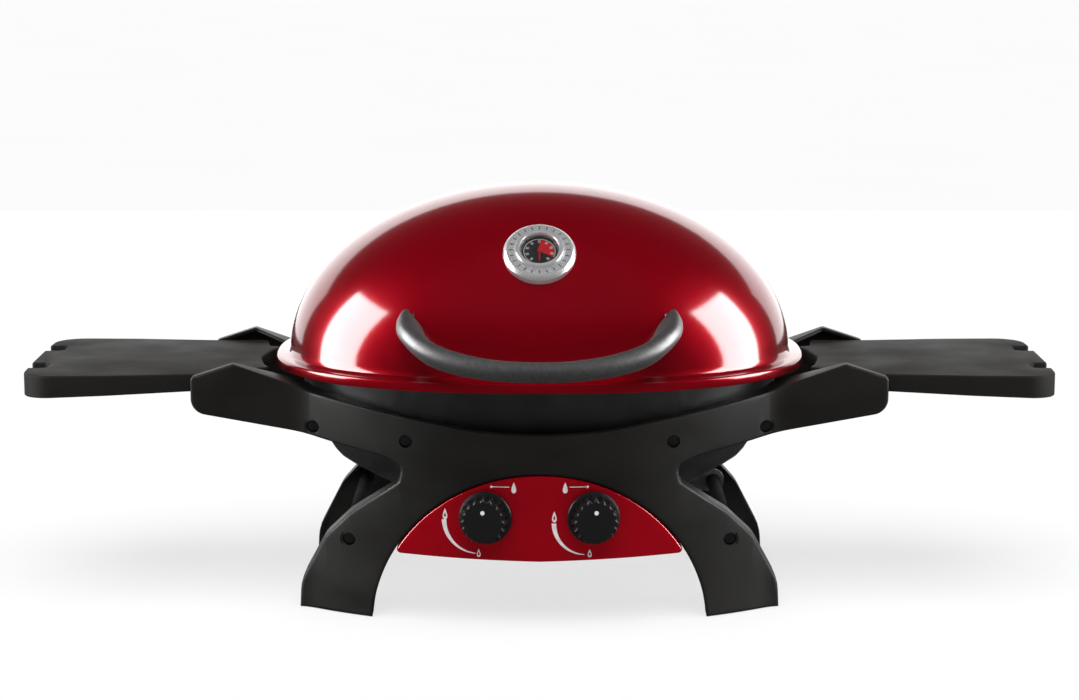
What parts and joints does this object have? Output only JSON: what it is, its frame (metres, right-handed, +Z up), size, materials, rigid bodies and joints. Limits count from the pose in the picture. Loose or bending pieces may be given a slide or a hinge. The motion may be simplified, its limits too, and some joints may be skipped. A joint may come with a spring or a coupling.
{
  "type": "portable tabletop grill",
  "caption": "Tabletop gas grill: oval domed lid on a cookbox between two curved leg frames, with a control panel in the front arch and folding side shelves.",
  "frame": {"origin": "on the table under the middle of the bounding box", "axes": "+X to the right of someone at the controls, +Y away from them, +Z up"},
  "size_m": [1.132, 0.5293, 0.4515],
  "materials": {
    "lid_shell": "cast, coated with gloss red enamel",
    "lid_handle": "satin",
    "handle_screws": "satin",
    "gauge_bezel": "brushed",
    "gauge_housing": "satin",
    "gauge_dial": "satin",
    "gauge_needle": "satin",
    "gauge_glass": "polished",
    "gauge_stem": "satin",
    "gauge_nut": "satin",
    "lid_hinge_leaves": "satin",
    "lid_hinge_screws": "satin",
    "lid_hinge_pins": "satin",
    "lid_hinge_brackets": "satin",
    "cookbox": "cast, coated with satin black enamel",
    "cookbox_lugs": "cast, coated with satin black enamel",
    "grill_plate": "matt",
    "hot_plate": "matt",
    "left_burner": "satin",
    "right_burner": "satin",
    "heat_tents": "satin",
    "front_frame": "satin moulded",
    "rear_frame": "satin moulded",
    "frame_screws": "satin",
    "tie_bars": "satin",
    "control_panel": "gloss",
    "panel_screws": "satin",
    "valve_bracket": "galvanised",
    "manifold": "satin",
    "left_valve_body": "satin",
    "right_valve_body": "satin",
    "left_valve_stem": "satin",
    "right_valve_stem": "satin",
    "left_knob": "satin",
    "right_knob": "satin",
    "gas_inlet": "satin",
    "inlet_bracket": "galvanised",
    "igniter_electrodes": "glazed",
    "igniter_leads": "satin",
    "left_shelf": "satin moulded",
    "right_shelf": "satin moulded",
    "shelf_pins": "satin",
    "drip_tray": "galvanised",
    "tray_rails": "galvanised"
  },
  "bodies": {
    "chassis": {"lid_hinge_pins": "lid_hinge_pins", "lid_hinge_brackets": "lid_hinge_brackets", "cookbox": "cookbox", "cookbox_lugs": "cookbox_lugs", "grill_plate": "grill_plate", "hot_plate": "hot_plate", "left_burner": "left_burner", "right_burner": "right_burner", "heat_tents": "heat_tents", "front_frame": "front_frame", "rear_frame": "rear_frame", "frame_screws": "frame_screws", "tie_bars": "tie_bars", "control_panel": "control_panel", "panel_screws": "panel_screws", "valve_bracket": "valve_bracket", "manifold": "manifold", "left_valve_body": "left_valve_body", "right_valve_body": "right_valve_body", "gas_inlet": "gas_inlet", "inlet_bracket": "inlet_bracket", "igniter_electrodes": "igniter_electrodes", "igniter_leads": "igniter_leads", "shelf_pins": "shelf_pins", "tray_rails": "tray_rails"},
    "lid": {"lid_shell": "lid_shell", "lid_handle": "lid_handle", "handle_screws": "handle_screws", "gauge_bezel": "gauge_bezel", "gauge_housing": "gauge_housing", "gauge_dial": "gauge_dial", "gauge_glass": "gauge_glass", "gauge_stem": "gauge_stem", "gauge_nut": "gauge_nut", "lid_hinge_leaves": "lid_hinge_leaves", "lid_hinge_screws": "lid_hinge_screws"},
    "gauge_needle": {"gauge_needle": "gauge_needle"},
    "left_stem": {"left_valve_stem": "left_valve_stem"},
    "right_stem": {"right_valve_stem": "right_valve_stem"},
    "left_knob": {"left_knob": "left_knob"},
    "right_knob": {"right_knob": "right_knob"},
    "left_shelf": {"left_shelf": "left_shelf"},
    "right_shelf": {"right_shelf": "right_shelf"},
    "drip_tray": {"drip_tray": "drip_tray"}
  },
  "joints": [
    {"name": "lid_hinge", "type": "hinge", "parent": "chassis", "child": "lid", "pos_m": [0, 0.2595, 0.26], "axis": [-1, 0, 0], "range_deg": [0, 85]},
    {"name": "gauge_needle_turn", "type": "hinge", "parent": "lid", "child": "gauge_needle", "pos_m": [0, -0.1435, 0.393], "axis": [0, -0.6756, 0.7373], "range_deg": [-270, 0]},
    {"name": "left_knob_turn", "type": "hinge", "parent": "chassis", "child": "left_stem", "pos_m": [-0.0565, -0.19924, 0.1195], "axis": [-0.1326, -0.9912, 0], "range_deg": [0, 200]},
    {"name": "left_knob_push", "type": "slide", "parent": "left_stem", "child": "left_knob", "axis": [0.1326, 0.9912, 0], "range_m": [0, 0.003], "stiffness_N_per_m": 600, "springref_m": -0.001},
    {"name": "right_knob_turn", "type": "hinge", "parent": "chassis", "child": "right_stem", "pos_m": [0.0565, -0.19924, 0.1195], "axis": [0.1326, -0.9912, 0], "range_deg": [0, 200]},
    {"name": "right_knob_push", "type": "slide", "parent": "right_stem", "child": "right_knob", "axis": [-0.1326, 0.9912, 0], "range_m": [0, 0.003], "stiffness_N_per_m": 600, "springref_m": -0.001},
    {"name": "left_shelf_fold", "type": "hinge", "parent": "chassis", "child": "left_shelf", "pos_m": [-0.338, 0.0165, 0.248], "axis": [0, -1, 0], "range_deg": [0, 88]},
    {"name": "right_shelf_fold", "type": "hinge", "parent": "chassis", "child": "right_shelf", "pos_m": [0.338, 0.0165, 0.248], "axis": [0, 1, 0], "range_deg": [0, 88]},
    {"name": "drip_tray_slide", "type": "slide", "parent": "chassis", "child": "drip_tray", "axis": [0, 1, 0], "range_m": [0, 0.18]}
  ]
}
